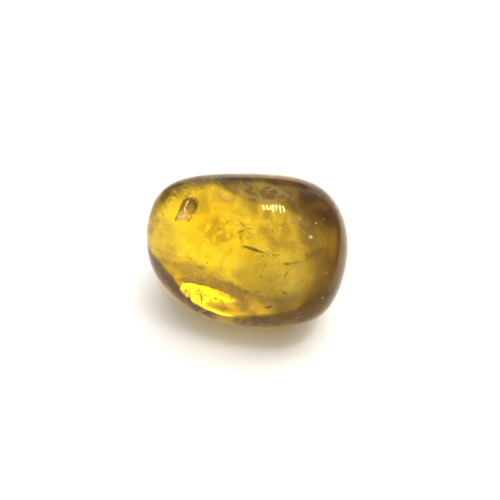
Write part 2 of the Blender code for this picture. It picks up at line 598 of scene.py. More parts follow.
# %% Colours of the skin and the pit
SKIN_TINT = (1.0, 0.97, 0.90, 1)
GLINT_TINT = (0.90, 0.66, 0.24, 1)
SHELF_COLOUR = (0.95, 0.72, 0.34, 1)
SHELF_SHADE = (0.74, 0.50, 0.06, 1)
RUST = (0.26, 0.13, 0.005, 1)
BROKEN_DEPTH = (0.02 * MM, 0.10 * MM)  # depth over which the polish gives way to the broken walls
RUSTY_DEPTH = (0.35 * MM, 0.75 * MM)  # and over which the walls turn rusty
CRUMBLY_HEIGHT = seen_at(-8.6, 4.9).z  # below it the pit's shelf is splintered
CRUMBLY_BLEND = 0.5 * MM
GRAIN_SIZE = 0.45 * MM
GRAIN_ROUGHNESS = 0.15  # what the grain adds to the roughness of the walls
WALL_ROUGHNESS = 0.2
CLEAR_SHARE = 0.99  # the rest of the light is scattered by the faintly milky skin
WALL_LOSS = 0.15  # share of its clearness that a broken wall loses
RUST_LOSS = 0.4  # what rust takes on top
CRUMBLY_LOSS = 0.5  # what the crumbly end of the shelf loses instead, where that is more


def finish_skin(tree, shader, where):
    """Polish, colour and clearness of the skin and of the pit's walls."""
    depth = add(tree, "ShaderNodeAttribute", attribute_name="below_polish").outputs["Fac"]
    broken = fade(tree, depth, *BROKEN_DEPTH)
    rusty = fade(tree, depth, *RUSTY_DEPTH)
    place = add(tree, "ShaderNodeSeparateXYZ", {"Vector": where}).outputs
    low, high = CRUMBLY_HEIGHT - CRUMBLY_BLEND, CRUMBLY_HEIGHT + CRUMBLY_BLEND
    crumbly = fade(tree, place["Z"], low, high, 1.0, 0.0)
    grain = fade(tree, noise(tree, where, GRAIN_SIZE), *NOISE_MIDDLE)

    splinters = calc(tree, "MULTIPLY_ADD", grain, GRAIN_ROUGHNESS, WALL_ROUGHNESS)
    roughness = calc(tree, "MAXIMUM", polish(tree, place), calc(tree, "MULTIPLY", broken, splinters))
    feed(tree, shader.inputs["Roughness"], roughness)

    shelf = blend_colours(tree, calc(tree, "MULTIPLY", crumbly, grain), SHELF_SHADE, SHELF_COLOUR)
    wall = blend_colours(tree, rusty, shelf, RUST)
    feed(tree, shader.inputs["Base Color"], blend_colours(tree, broken, SKIN_TINT, wall))

    loss = calc(tree, "MULTIPLY_ADD", rusty, -RUST_LOSS, -WALL_LOSS)
    loss = calc(tree, "MINIMUM", calc(tree, "MULTIPLY", crumbly, -CRUMBLY_LOSS), loss)
    clearness = calc(tree, "MULTIPLY_ADD", broken, loss, CLEAR_SHARE)
    feed(tree, shader.inputs["Transmission Weight"], clearness)


# %% Finish of the calcite
BODY_COLOUR = (0.957, 0.872, 0.01, 1)
BODY_DENSITY = 240.0  # per metre

tree, shader, where = new_material(CALCITE)
finish_skin(tree, shader, where)
shader.inputs["IOR"].default_value = CALCITE_INDEX
shader.inputs["Specular Tint"].default_value = GLINT_TINT
body = add(tree, "ShaderNodeVolumeAbsorption")
body.inputs["Color"].default_value = BODY_COLOUR
body.inputs["Density"].default_value = BODY_DENSITY
tree.links.new(body.outputs[0], tree.nodes["Material Output"].inputs["Volume"])
print("Calcite material:", len(tree.nodes), "nodes")

# %% [markdown]
# ## What the crystal holds
#
# Clear calcite is full of small flaws. Old cracks that the crystal has healed are left as veils of
# tiny specks, iron-stained in places. Each veil could be a see-through sheet with a pattern, but a
# real one is a scatter of flakes, and as flakes it looks right from every side. So a veil here is a
# patch of surface inside the stone, laid along a few listed points, and Geometry Nodes strew
# flakes over it: thick in some strands, thin in others, and fading out at the edges.

# %% A patch to strew flakes on
PATCH_STEPS = 16  # squares along a patch
PATCH_ROWS = 6  # squares across it
LOOK_AHEAD = 0.02  # share of a spine over which its direction is measured, to each side


def along(points, share):
    """The point at a share of the way along a smooth curve through the points."""
    place = share * (len(points) - 1)
    index = min(int(place), len(points) - 2)
    before, start = Vector(points[max(index - 1, 0)]), Vector(points[index])
    end, after = Vector(points[index + 1]), Vector(points[min(index + 2, len(points) - 1)])
    t = place - index
    bent = (start * 2 + (end - before) * t + (before * 2 - start * 5 + end * 4 - after) * t**2
            + (start * 3 - before - end * 3 + after) * t**3)
    return bent / 2


def square_to(spine, share):
    """The direction square to a spine in the view, at a share of its way."""
    ahead = along(spine, min(share + LOOK_AHEAD, 1.0)) - along(spine, max(share - LOOK_AHEAD, 0.0))
    return Vector((-ahead.y, ahead.x)).normalized()


def veil_patch(name, spine, width):
    """A curved strip inside the stone. The spine's points are across, up and depth in millimetres."""
    mesh = bpy.data.meshes.new(name + "_patch")
    bm = bmesh.new()
    edge = bm.verts.layers.float.new("edge")
    rows = []
    for step in range(PATCH_STEPS + 1):
        share = step / PATCH_STEPS
        across, up, depth = along(spine, share)
        side = square_to(spine, share)
        row = []
        for number in range(PATCH_ROWS + 1):
            offset = number / PATCH_ROWS - 0.5
            place = Vector((across, up)) + side * offset * width
            vertex = bm.verts.new(seen_at(*place, depth))
            vertex[edge] = sin(pi * share) * cos(pi * offset)
            row.append(vertex)
        rows.append(row)
    stitch(bm, rows)
    bm.to_mesh(mesh)
    bm.free()
    return mesh


# %% [markdown]
# The tree strews points over the patch, more of them where a noise makes a strand, and puts a flake on
# each: a flattened ball of twenty faces, turned and sized at random from a fixed seed.

# %% Sizes of the flakes
FLAKE_SHAPE = (1.0, 0.6, 0.22)  # length, breadth and thickness, in flake lengths
SHORTEST, LONGEST = 0.35, 1.3  # of the flakes, in flake lengths
STRAND_EDGE = 0.2  # of the noise, over which a strand thickens
VEIL_SIZES = {
    "Flakes per square mm": 60.0,
    "Flake length": 0.10 * MM,
    "Strand size": 0.8 * MM,
    "Strand start": 0.42,
    "Thickness": 0.25 * MM,
    "Seed": 1,
}


# %% The tree that strews the flakes
def flake_veil_tree():
    """Strews flat flakes over a patch, thick in its strands and fading out at its edges."""
    tree, sizes = new_geometry_tree("flake_veil", VEIL_SIZES | {"Material": CALCITE})
    place = tree.nodes.new("GeometryNodeInputPosition").outputs[0]
    strands = noise(tree, place, sizes["Strand size"], detail=3.0, Distortion=1.5)
    strand_full = calc(tree, "ADD", sizes["Strand start"], STRAND_EDGE)
    strands = fade(tree, strands, sizes["Strand start"], strand_full)
    edge = add(tree, "GeometryNodeInputNamedAttribute", {"Name": "edge"}, data_type="FLOAT").outputs[0]
    density = calc(tree, "MULTIPLY", calc(tree, "MULTIPLY", strands, edge), sizes["Flakes per square mm"])
    strewn = add(tree, "GeometryNodeDistributePointsOnFaces", {
        "Mesh": sizes["Geometry"],
        "Density": calc(tree, "DIVIDE", density, MM * MM),
        "Seed": sizes["Seed"],
    })

    def chance(low, high, step, kind="FLOAT"):
        """A random number or vector for each flake. The step keeps the draws apart."""
        inputs = {"Seed": calc(tree, "ADD", sizes["Seed"], float(step))}
        node = add(tree, "FunctionNodeRandomValue", inputs, data_type=kind)
        pick = 0 if kind == "FLOAT_VECTOR" else 2
        node.inputs[pick].default_value, node.inputs[pick + 1].default_value = low, high
        return node.outputs[0 if kind == "FLOAT_VECTOR" else 1]

    drift = stretch(tree, chance((-0.5,) * 3, (0.5,) * 3, 1, "FLOAT_VECTOR"), sizes["Thickness"])
    points = add(tree, "GeometryNodeSetPosition", {"Geometry": strewn.outputs["Points"], "Offset": drift})
    flake = add(tree, "GeometryNodeMeshIcoSphere", {"Radius": 0.5, "Subdivisions": 1})
    length = calc(tree, "MULTIPLY", sizes["Flake length"], chance(SHORTEST, LONGEST, 2))
    placed = add(tree, "GeometryNodeInstanceOnPoints", {
        "Points": points.outputs[0],
        "Instance": flake.outputs["Mesh"],
        "Rotation": chance((0.0,) * 3, (2 * pi,) * 3, 3, "FLOAT_VECTOR"),
        "Scale": vector_calc(tree, "MULTIPLY", FLAKE_SHAPE, stretch(tree, (1.0, 1.0, 1.0), length)),
    })
    close_tree(tree, placed.outputs[0], sizes["Material"])
    return tree


FLAKE_TREE = flake_veil_tree()

# %% [markdown]
# The flakes' colours: iron oxide makes brown and rust, and empty healed cracks look pale because
# light glances off them. Every finish varies a little from flake to flake, from noise that is larger
# than a flake, so that no veil is a single flat colour.

# %% Finishes of the flaws
FLAW_CLOUDS = 0.7 * MM


def flaw_finish(name, dark, light, roughness, solid=1.0):
    """A finish that wanders between two colours."""
    material = bpy.data.materials.new(name)
    tree, shader, where = new_material(material)
    share = fade(tree, noise(tree, where, FLAW_CLOUDS, detail=4.0), *NOISE_MIDDLE)
    feed(tree, shader.inputs["Base Color"], blend_colours(tree, share, (*dark, 1), (*light, 1)))
    shader.inputs["Roughness"].default_value = roughness
    shader.inputs["Alpha"].default_value = solid
    return material


BROWN_FLAW = flaw_finish("iron_brown", (0.16, 0.08, 0.015), (0.34, 0.19, 0.04), 0.6)
DARK_FLAW = flaw_finish("dark_oxide", (0.05, 0.025, 0.006), (0.22, 0.12, 0.015), 0.5)
OLIVE_FLAW = flaw_finish("olive_parting", (0.34, 0.21, 0.01), (0.52, 0.34, 0.02), 0.5, solid=0.75)
PALE_FLAW = flaw_finish("pale_healed_crack", (0.88, 0.74, 0.46), (0.97, 0.92, 0.76), 0.35)

# %% [markdown]
# ## Smoky zones
#
# Between the flakes, iron has stained the calcite itself: brown smoke along the top and the right,
# olive and amber clouds in the middle, thin brown threads over the glow, and milk where the crystal
# is a little cloudy. The brown along the top and the right is partly that stain and partly painted
# shade, and along the rims it is painted shade only. A torn brown zone over the glow is painted shade
# that trims the glow, a pale ochre zone there is painted light, and a pale line along the ridge under
# the lamp strips is a painted highlight. The edges are soft, and a second volume inside the first
# would render slowly and with a hard outline. So a zone is a thin closed cushion inside the stone
# whose finish is only partly solid: dense along its middle, clearer where a noise is low, and gone
# before its edge. How smoky it is at each point is stored as an attribute.
#
# A zone that runs off the side of the stone thins out where the skin turns away, and two wide zones,
# placed by their direction from the heart, carry the smoke and its painted shade on over the top to
# the back.

# %% How a stain is dense and clear
STAIN_ROUGHNESS = 0.8
PATCHES_SCALE = 1.7  # of the patches that threads come in, in thread sizes
PATCHES_RANGE = (0.42, 0.62)  # the range of their noise over which threads appear


def stain(name, colour, density):
    """A partly solid, matt finish. density adds the nodes that say how dense it is in each place."""
    material = bpy.data.materials.new(name)
    tree, shader, where = new_material(material)
    smoke = add(tree, "ShaderNodeAttribute", attribute_name="smoke").outputs["Fac"]
    feed(tree, shader.inputs["Alpha"], calc(tree, "MULTIPLY", smoke, density(tree, where)))
    shader.inputs["Base Color"].default_value = (*colour, 1)
    shader.inputs["Roughness"].default_value = STAIN_ROUGHNESS
    shader.inputs["Specular IOR Level"].default_value = 0.0
    return material


def cloudy(size, window=(0.25, 0.75), levels=(0.45, 1.35)):
    """Soft clouds that are size across. The noise's window is stretched to the two levels."""
    def density(tree, where):
        return fade(tree, noise(tree, where, size, detail=5.0, Distortion=0.6), *window, *levels)
    return density


def threaded(size, breadth):
    """Thin winding threads, in loose patches."""
    def density(tree, where):
        wander = calc(tree, "SUBTRACT", noise(tree, where, size, detail=4.0, Distortion=1.0), 0.5)
        thread = fade(tree, calc(tree, "ABSOLUTE", wander), 0.0, breadth, 1.0, 0.0)
        patches = fade(tree, noise(tree, where, size * PATCHES_SCALE), *PATCHES_RANGE)
        return calc(tree, "MULTIPLY", thread, patches)
    return density


# %% The stains
# Brown iron stain that also serves as painted shade along the top, the right and the rims.
STAIN_AND_SHADE = stain("iron_stain_and_painted_shade", (0.16, 0.055, 0.008), cloudy(1.6 * MM))
BROWN_SMOKE = stain("amber_brown_stain", (0.46, 0.20, 0.03), cloudy(1.4 * MM, (0.3, 0.7), (0.5, 1.3)))
# Torn iron stain, also used as painted shade that trims the glow.
TORN_STAIN_AND_SHADE = stain("torn_stain_and_painted_shade", (0.62, 0.40, 0.12), cloudy(0.5 * MM, (0.25, 0.60), (0.2, 1.2)))
# A pale ochre finish used as painted light.
PAINTED_LIGHT_OCHRE = stain("ochre_painted_light", (0.95, 0.64, 0.18), cloudy(0.6 * MM, (0.30, 0.60), (0.4, 1.2)))
# Olive stain, also used as painted shade along the top-left edge.
OLIVE_STAIN_AND_SHADE = stain("olive_stain_and_painted_shade", (0.16, 0.10, 0.01), cloudy(1.6 * MM))
OLIVE_MOTTLE = stain("olive_mottle", (0.26, 0.16, 0.01), cloudy(1.3 * MM, (0.42, 0.66), (0.0, 1.0)))
OLIVE_THREADS = stain("olive_threads", (0.14, 0.08, 0.006), threaded(1.3 * MM, 0.035))
BROWN_THREADS = stain("brown_threads", (0.12, 0.055, 0.008), threaded(0.9 * MM, 0.05))
RUSTY_SMOKE = stain("rusty_stain", (0.34, 0.10, 0.008), cloudy(1.0 * MM))
AMBER_SMOKE = stain("amber_stain", (0.90, 0.48, 0.0), cloudy(1.0 * MM, (0.40, 0.62), (0.1, 1.2)))
GLOW_VEINS = stain("amber_veins", (0.85, 0.30, 0.0), threaded(0.55 * MM, 0.07))
KHAKI_SMOKE = stain("khaki_milk", (0.95, 0.72, 0.28), cloudy(1.2 * MM))
PALE_SMOKE = stain("pale_milk", (0.94, 0.76, 0.48), cloudy(1.2 * MM))
PALE_THREADS = stain("pale_threads", (0.95, 0.70, 0.36), threaded(0.8 * MM, 0.05))

# %% [markdown]
# A cushion is two sheets that bulge away from each other and are joined round their rim. Both follow
# the skin at the depth that the spine gives. At the edges the smoke is gone, but the cushion keeps a
# little thickness, so that the sheets never cross.

# %% One smoky zone
SMOKE_STEPS = 28  # squares along a cushion
SMOKE_ROWS = 12  # squares across it
SMOKE_THICKNESS = 0.12 * MM
EDGE_THICKNESS = 0.1  # of the thickness, left at the edges
FULL_SOON = 2.5  # how fast the smoke thickens from the two ends of a zone


def rim_of(rows):
    """The corners round a sheet, in order."""
    down, over = [row[0] for row in rows[:-1]], rows[-1][:-1]
    up, back = [row[-1] for row in rows[:0:-1]], rows[0][:0:-1]
    return down + over + up + back


def smoky_zone(name, finish, strength, softness, spine, finder=in_view):
    """A closed cushion along a spine of points: across, up, depth and width, all in millimetres."""
    bm = bmesh.new()
    smoke = bm.verts.layers.float.new("smoke")
    sheets = []
    for inwards in (-1, 1):  # the outer sheet, then the inner one
        rows = []
        for step in range(SMOKE_STEPS + 1):
            share = step / SMOKE_STEPS
            across, up, depth, width = along(spine, share)
            side = square_to(spine, share)
            row = []
            for number in range(SMOKE_ROWS + 1):
                offset = number / SMOKE_ROWS - 0.5
                place = Vector((across, up)) + side * offset * width
                point, inward, facing_share = finder(*place)
                fullness = min(1.0, FULL_SOON * sin(pi * share)) * max(0.0, cos(pi * offset)) ** softness
                fullness *= facing_share
                bulge = EDGE_THICKNESS + (1 - EDGE_THICKNESS) * fullness
                bulge *= inwards * SMOKE_THICKNESS / MM
                vertex = bm.verts.new(point + inward * (depth + bulge) * MM)
                vertex[smoke] = strength * fullness
                row.append(vertex)
            rows.append(row)
        sheets.append(rows)
    for rows in sheets:
        stitch(bm, rows)
    stitch(bm, [rim_of(rows) for rows in sheets], closed=True)
    piece = closed_piece(name, bm, finish)
    piece.data.shade_smooth()
    return piece


# %% Where the smoky zones are
SMOKY_ZONES = {
    # Painted shade: brown stain that darkens the top, for the shadow under the stone's back seen through
    # it.
    "painted_shade_top": (STAIN_AND_SHADE, 0.58, 0.6, (
        (-5.6, 9.6, 1.2, 2.0), (-2.5, 9.1, 1.6, 3.8), (0.5, 8.5, 2.0, 5.2), (3.6, 8.1, 2.2, 5.6),
        (6.6, 7.2, 2.2, 5.6), (9.4, 5.2, 2.0, 5.4), (11.4, 2.4, 1.6, 4.0))),
    # Partly iron stain, partly painted shade for the dark right side.
    "stain_and_painted_shade_right": (STAIN_AND_SHADE, 0.26, 0.5, (
        (4.4, 8.2, 2.2, 4.0), (7.4, 6.6, 2.6, 7.0), (9.6, 4.2, 2.6, 8.4), (10.4, 1.6, 2.2, 9.0),
        (11.0, -1.4, 1.8, 8.4), (10.8, -4.4, 1.6, 6.6), (9.4, -7.0, 1.4, 4.6))),
    # Painted shade: dark stain along the right rim, where the stone shows dark.
    "painted_shade_edge_right": (STAIN_AND_SHADE, 0.50, 0.35, (
        (6.0, 8.8, 0.4, 1.0), (7.6, 8.0, 0.4, 1.5), (10.1, 6.0, 0.4, 1.7), (11.3, 3.6, 0.4, 1.7),
        (11.7, 1.2, 0.4, 1.7), (11.6, -1.2, 0.4, 1.7), (11.2, -3.2, 0.4, 1.6), (10.3, -5.2, 0.4, 1.4))),
    "brown_right": (BROWN_SMOKE, 0.26, 0.9, (
        (1.0, 8.4, 2.4, 3.0), (4.4, 6.8, 2.8, 6.6), (7.4, 3.6, 3.0, 8.6), (8.6, 0.0, 3.0, 8.6),
        (8.8, -3.4, 2.6, 6.6), (7.4, -6.6, 2.2, 3.6))),
    "brown_by_ridge": (BROWN_SMOKE, 0.24, 1.0, (
        (5.2, 5.0, 2.4, 1.6), (7.0, 3.4, 2.6, 3.4), (8.0, 0.8, 2.6, 3.4), (7.8, -1.8, 2.4, 1.6))),
    "brown_clouds_middle": (BROWN_SMOKE, 0.26, 1.0, (
        (-2.6, 8.6, 2.0, 1.6), (-0.6, 7.2, 2.2, 3.6), (1.2, 5.6, 2.4, 3.4), (1.8, 3.4, 2.6, 3.2),
        (3.6, 1.2, 2.6, 3.2), (6.0, 0.2, 2.4, 1.8))),
    # Painted shade: an olive band that darkens the top-left edge for the same shadow.
    "painted_shade_top_left": (OLIVE_STAIN_AND_SHADE, 0.60, 1.0, (
        (-12.9, -0.6, 0.6, 1.2), (-13.0, 2.2, 0.6, 1.8), (-12.4, 4.8, 0.7, 2.4), (-11.0, 7.0, 0.8, 2.6),
        (-8.9, 8.6, 0.8, 2.4), (-6.0, 9.2, 0.8, 2.4), (-2.0, 9.5, 0.8, 2.4), (3.0, 9.6, 0.8, 2.0))),
    # Painted shade: dark stain along the lower rims, where the stone shows dark.
    "painted_shade_rim_left": (STAIN_AND_SHADE, 0.88, 0.35, (
        (-13.2, 1.0, 0.4, 0.3), (-12.85, -0.3, 0.5, 0.9), (-12.2, -1.6, 0.5, 1.5), (-11.4, -2.7, 0.5, 1.8),
        (-10.4, -3.9, 0.5, 1.8), (-9.6, -5.0, 0.5, 1.6), (-8.4, -6.3, 0.4, 1.3), (-6.6, -7.6, 0.4, 1.4),
        (-4.6, -8.5, 0.4, 1.3), (-2.6, -9.1, 0.4, 1.2))),
    "painted_shade_rim_right": (STAIN_AND_SHADE, 0.84, 0.6, (
        (-3.4, -8.8, 0.4, 1.2), (-0.8, -9.1, 0.4, 1.9), (1.8, -9.1, 0.5, 2.1), (5.0, -8.8, 0.6, 2.4),
        (7.8, -7.8, 0.6, 2.7), (9.8, -6.4, 0.6, 2.8), (11.0, -4.9, 0.6, 2.2), (11.7, -3.4, 0.5, 1.0))),
    "amber_near_top": (AMBER_SMOKE, 0.34, 1.0, (
        (1.2, 5.0, 2.0, 1.6), (3.2, 4.2, 2.2, 2.8), (4.8, 2.9, 2.2, 3.0), (5.6, 1.4, 2.2, 1.6))),
    "amber_middle": (AMBER_SMOKE, 0.30, 1.0, (
        (-6.6, 3.4, 3.0, 2.0), (-4.2, 2.4, 3.4, 4.6), (-1.6, 1.6, 3.6, 4.6), (0.8, 1.6, 3.4, 2.0))),
    "amber_in_glow": (AMBER_SMOKE, 0.60, 0.8, (
        (-8.2, -4.9, 1.6, 0.7), (-7.9, -5.7, 1.6, 1.3), (-7.5, -6.5, 1.6, 0.8))),
    "veins_in_glow": (GLOW_VEINS, 0.80, 0.5, (
        (-8.6, -4.6, 1.2, 1.2), (-6.6, -5.6, 1.3, 2.2), (-4.6, -6.8, 1.3, 2.2), (-3.0, -7.8, 1.2, 1.4))),
    # Painted shade: trims the lamp's glow to its shape, over wisps of stain.
    "painted_shade_over_glow": (TORN_STAIN_AND_SHADE, 0.50, 0.8, (
        (-9.4, -3.7, 1.6, 0.5), (-7.6, -3.8, 1.7, 0.9), (-5.4, -4.2, 1.8, 1.4), (-3.2, -5.0, 1.8, 2.0),
        (-1.4, -6.2, 1.7, 2.4), (-0.6, -7.9, 1.4, 1.8))),
    "haze_beside_glow": (TORN_STAIN_AND_SHADE, 0.34, 1.0, (
        (-3.4, -4.2, 2.4, 1.2), (-1.4, -5.7, 2.4, 2.6), (-0.2, -7.2, 2.2, 2.8), (0.8, -8.5, 1.8, 1.6))),
    "brown_threads_glow": (BROWN_THREADS, 0.60, 0.6, (
        (-10.6, -1.4, 2.2, 1.6), (-8.6, -2.2, 2.4, 3.0), (-6.2, -3.2, 2.6, 3.6), (-3.8, -4.4, 2.6, 3.2),
        (-1.8, -6.0, 2.4, 2.2), (-0.8, -8.0, 2.0, 1.2))),
    "rusty_top": (RUSTY_SMOKE, 0.50, 1.0, (
        (2.4, 8.9, 1.2, 0.6), (4.2, 8.9, 1.4, 1.8), (6.2, 8.3, 1.6, 2.2), (8.2, 7.0, 1.6, 1.0))),
    "milky_left": (PALE_SMOKE, 0.30, 1.0, (
        (-11.4, 4.4, 2.0, 2.0), (-11.2, 2.2, 2.2, 4.4), (-10.8, 0.0, 2.4, 4.8), (-9.6, -2.0, 2.6, 2.6))),
    "olive_mottle": (OLIVE_MOTTLE, 0.10, 0.4, (
        (-12.0, 0.6, 2.6, 6.0), (-6.0, 0.4, 3.2, 14.0), (0.0, -0.6, 3.4, 15.0), (6.0, -1.6, 3.0, 13.0),
        (10.0, -2.0, 2.2, 6.0))),
    "olive_mottle_top": (OLIVE_MOTTLE, 0.16, 0.6, (
        (-10.4, 5.4, 2.0, 3.0), (-6.6, 5.6, 2.4, 5.0), (-2.6, 5.4, 2.6, 5.0), (1.4, 4.4, 2.6, 3.0))),
    "olive_haze_top": (OLIVE_STAIN_AND_SHADE, 0.15, 1.2, (
        (-9.6, 6.4, 1.4, 3.0), (-6.0, 6.8, 1.8, 5.0), (-2.0, 6.4, 2.0, 5.6), (1.6, 5.6, 2.0, 4.0))),
    # Painted light: a pale ochre zone that brightens the dark wedge over the glow.
    "painted_light_over_glow": (PAINTED_LIGHT_OCHRE, 0.36, 0.9, (
        (-9.6, -1.7, 0.9, 1.0), (-8.0, -2.4, 0.9, 2.4), (-6.0, -3.1, 0.9, 2.4), (-3.8, -4.2, 0.9, 2.0),
        (-1.2, -5.2, 0.9, 1.4))),
    "olive_threads": (OLIVE_THREADS, 0.36, 0.4, (
        (-7.0, 2.4, 2.8, 4.0), (-2.0, 2.0, 3.2, 6.0), (2.6, 1.4, 3.2, 6.0), (7.2, 0.2, 2.8, 5.0))),
    "olive_threads_low": (OLIVE_THREADS, 0.45, 0.4, (
        (-3.4, -4.2, 2.6, 2.0), (0.0, -4.8, 3.0, 3.6), (3.8, -5.0, 3.0, 4.0), (7.8, -5.2, 2.2, 3.0))),
    "khaki_low": (KHAKI_SMOKE, 0.20, 1.4, (
        (-3.2, -5.4, 0.8, 1.4), (-0.8, -5.8, 0.8, 4.0), (1.6, -6.0, 0.8, 4.8), (4.4, -5.4, 0.8, 5.2),
        (7.0, -4.2, 0.8, 3.0))),
    "khaki_middle": (KHAKI_SMOKE, 0.12, 1.4, (
        (-5.0, -2.2, 0.7, 2.0), (-1.4, -2.8, 0.7, 5.0), (2.8, -2.8, 0.7, 6.0), (7.0, -2.4, 0.7, 3.0))),
    "pale_threads_top": (PALE_THREADS, 0.60, 0.5, (
        (-2.4, 8.6, 0.8, 1.2), (0.2, 7.6, 0.9, 2.6), (2.8, 6.9, 1.0, 2.8), (5.4, 5.6, 1.0, 1.4))),
    "pale_wisp_1": (PALE_SMOKE, 0.24, 1.0, (
        (-1.6, 7.9, 0.9, 0.3), (-0.4, 6.9, 0.9, 0.7), (0.9, 6.6, 1.0, 0.6), (2.3, 5.6, 1.0, 0.3))),
    "pale_wisp_2": (PALE_SMOKE, 0.24, 1.0, (
        (1.2, 8.0, 0.9, 0.3), (2.4, 8.2, 0.9, 0.6), (3.6, 7.6, 1.0, 0.8), (5.4, 6.4, 1.0, 0.3))),
    "pale_wisp_3": (PALE_SMOKE, 0.20, 1.0, (
        (-4.2, 8.0, 0.6, 0.2), (-3.9, 6.9, 0.7, 0.5), (-2.8, 6.3, 0.8, 0.6), (-1.2, 6.8, 0.8, 0.3))),
    # Painted highlight: a pale line along the ridge below the mirrored lamp strips.
    "painted_highlight_ridge": (PALE_SMOKE, 0.26, 0.8, (
        (3.9, 5.2, 0.2, 0.15), (5.0, 4.4, 0.2, 0.30), (6.2, 3.0, 0.2, 0.34), (7.1, 1.9, 0.2, 0.2))),
}  # finish, strength, softness of the edges, spine
FAR_ZONES = {
    # These carry the painted shade of the top and the sides on over the back.
    "stain_and_shade_over_right": (STAIN_AND_SHADE, 0.42, 1.2, (
        (16, -26, 0.5, 30), (30, -6, 0.5, 50), (48, 14, 0.5, 60), (74, 30, 0.5, 60), (100, 40, 0.5, 50),
        (124, 42, 0.5, 20))),
    "olive_stain_and_shade_over_left": (OLIVE_STAIN_AND_SHADE, 0.40, 1.2, (
        (84, 36, 0.7, 24), (110, 38, 0.7, 40), (136, 36, 0.7, 40), (158, 26, 0.7, 36), (182, 6, 0.7, 24))),
}  # the same, but the spines are heading, tilt, depth and width, all but the depth in degrees

# %% Make the smoky zones
zones = [smoky_zone(name, *zone) for name, zone in SMOKY_ZONES.items()]
zones += [smoky_zone(name, *zone, finder=from_heart) for name, zone in FAR_ZONES.items()]
print(len(zones), "smoky zones,", sum(len(zone.data.polygons) for zone in zones), "faces")

# %% [markdown]
# Seven veils show from the front: a brown cloud and an olive band along the top, which are partly stain
# and partly painted shade that darkens the top, dark strands over the glow, olive ones through the
# middle and low down, and two pale feathers of healed crack near the top. One tree makes them all.
# It is the sizes, the strands and the finish that tell them apart.

# %% Where the veils are
VEILS = {
    "brown_cloud_and_shade_top": (BROWN_FLAW, 2.8, 90, 0.12, 1.4, 0.36, 0.9,
                        ((-1.0, 8.4, 1.5), (2.0, 7.7, 2.2), (5.2, 6.6, 2.6), (8.0, 4.2, 2.4))),
    "olive_band_and_shade_top_left": (OLIVE_FLAW, 1.2, 240, 0.14, 2.0, 0.25, 0.5,
                            ((-11.8, 3.2, 1.0), (-10.4, 6.2, 1.0), (-7.4, 8.0, 1.0), (-3.0, 8.7, 1.0),
                             (1.0, 8.9, 1.0))),
    "strands_over_glow": (DARK_FLAW, 1.6, 160, 0.12, 0.5, 0.50, 0.5,
                          ((-8.6, -3.2, 2.6), (-6.8, -4.0, 2.8), (-5.0, -4.2, 3.0), (-2.8, -5.8, 2.6))),
    "olive_strands_middle": (OLIVE_FLAW, 2.8, 80, 0.15, 0.6, 0.47, 0.8,
                             ((-1.4, 3.2, 3.0), (0.4, 2.4, 3.4), (2.6, 1.8, 3.4), (5.0, 1.2, 3.0))),
    "olive_strands_low": (OLIVE_FLAW, 2.4, 90, 0.14, 0.5, 0.47, 0.8,
                          ((-2.8, -4.4, 3.0), (0.8, -5.2, 3.2), (4.4, -5.4, 3.0), (7.4, -5.0, 2.4))),
    "pale_feather_top": (PALE_FLAW, 0.7, 220, 0.12, 0.4, 0.46, 0.3,
                         ((-0.2, 7.6, 1.0), (1.0, 6.9, 1.2), (2.0, 6.0, 1.4), (3.4, 5.9, 1.4))),
    "pale_feather_right": (PALE_FLAW, 0.6, 220, 0.12, 0.4, 0.46, 0.3,
                           ((2.3, 8.0, 1.0), (3.6, 7.8, 1.2), (4.8, 6.9, 1.4), (6.0, 6.2, 1.4))),
}  # finish, width, flakes per mm2, flake length, strand size, strand start, thickness, spine

# %% Lay the veils
FIRST_SEED = 11

veils = []
for seed, (name, veil) in enumerate(VEILS.items(), start=FIRST_SEED):
    finish, width, thick_with, length, strand, strand_start, thickness, spine = veil
    sizes = {
        "Flakes per square mm": float(thick_with),
        "Flake length": length * MM,
        "Strand size": strand * MM,
        "Strand start": strand_start,
        "Thickness": thickness * MM,
        "Seed": seed,
        "Material": finish,
    }
    veils.append(grow(name, FLAKE_TREE, sizes, veil_patch(name, spine, width)))

# %% [markdown]
# ## Slivers: partings, needles and specks
#
# Some flaws are single bodies: a dark lens along a cleavage plane, a needle, a speck, the edge of a
# crack. Pale specks just under the polish are painted glints. Each is a pointed, flattened spindle
# between two places. One function turns it with bmesh, from a few rings of points, and pieces of one
# colour are joined, because they belong together.

# %% One sliver
RING_POINTS = 6
RING_SHARES = (0.0, 0.12, 0.32, 0.5, 0.7, 0.9, 1.0)  # of the length, where the rings are
RING_FULLNESS = (0.02, 0.5, 0.95, 1.0, 0.8, 0.4, 0.02)  # of the width, how wide each ring is
FLATNESS = 0.4  # of the width, how thick a sliver is


def add_sliver(bm, start, end, width, depth):
    """One pointed spindle from start to end, both across and up in millimetres."""
    first, last = seen_at(*start, depth), seen_at(*end, depth)
    axis = (last - first).normalized()
    side = axis.cross(to_camera).normalized()
    thin = axis.cross(side)
    rings = []
    for share, fullness in zip(RING_SHARES, RING_FULLNESS):
        middle = first.lerp(last, share)
        radius = width * MM / 2 * fullness
        ring = []
        for number in range(RING_POINTS):
            angle = 2 * pi * number / RING_POINTS
            offset = side * cos(angle) * radius + thin * sin(angle) * radius * FLATNESS
            ring.append(bm.verts.new(middle + offset))
        rings.append(ring)
    stitch(bm, rings, closed=True)
    bm.faces.new(reversed(rings[0]))
    bm.faces.new(rings[-1])


def sliver_piece(name, finish, slivers):
    """All slivers of one colour as one object."""
    bm = bmesh.new()
    for sliver in slivers:
        add_sliver(bm, *sliver)
    piece = closed_piece(name, bm, finish)
    piece.data.shade_smooth()
    print(f"{name}: {len(slivers)} slivers, {len(piece.data.polygons)} faces")
    return piece


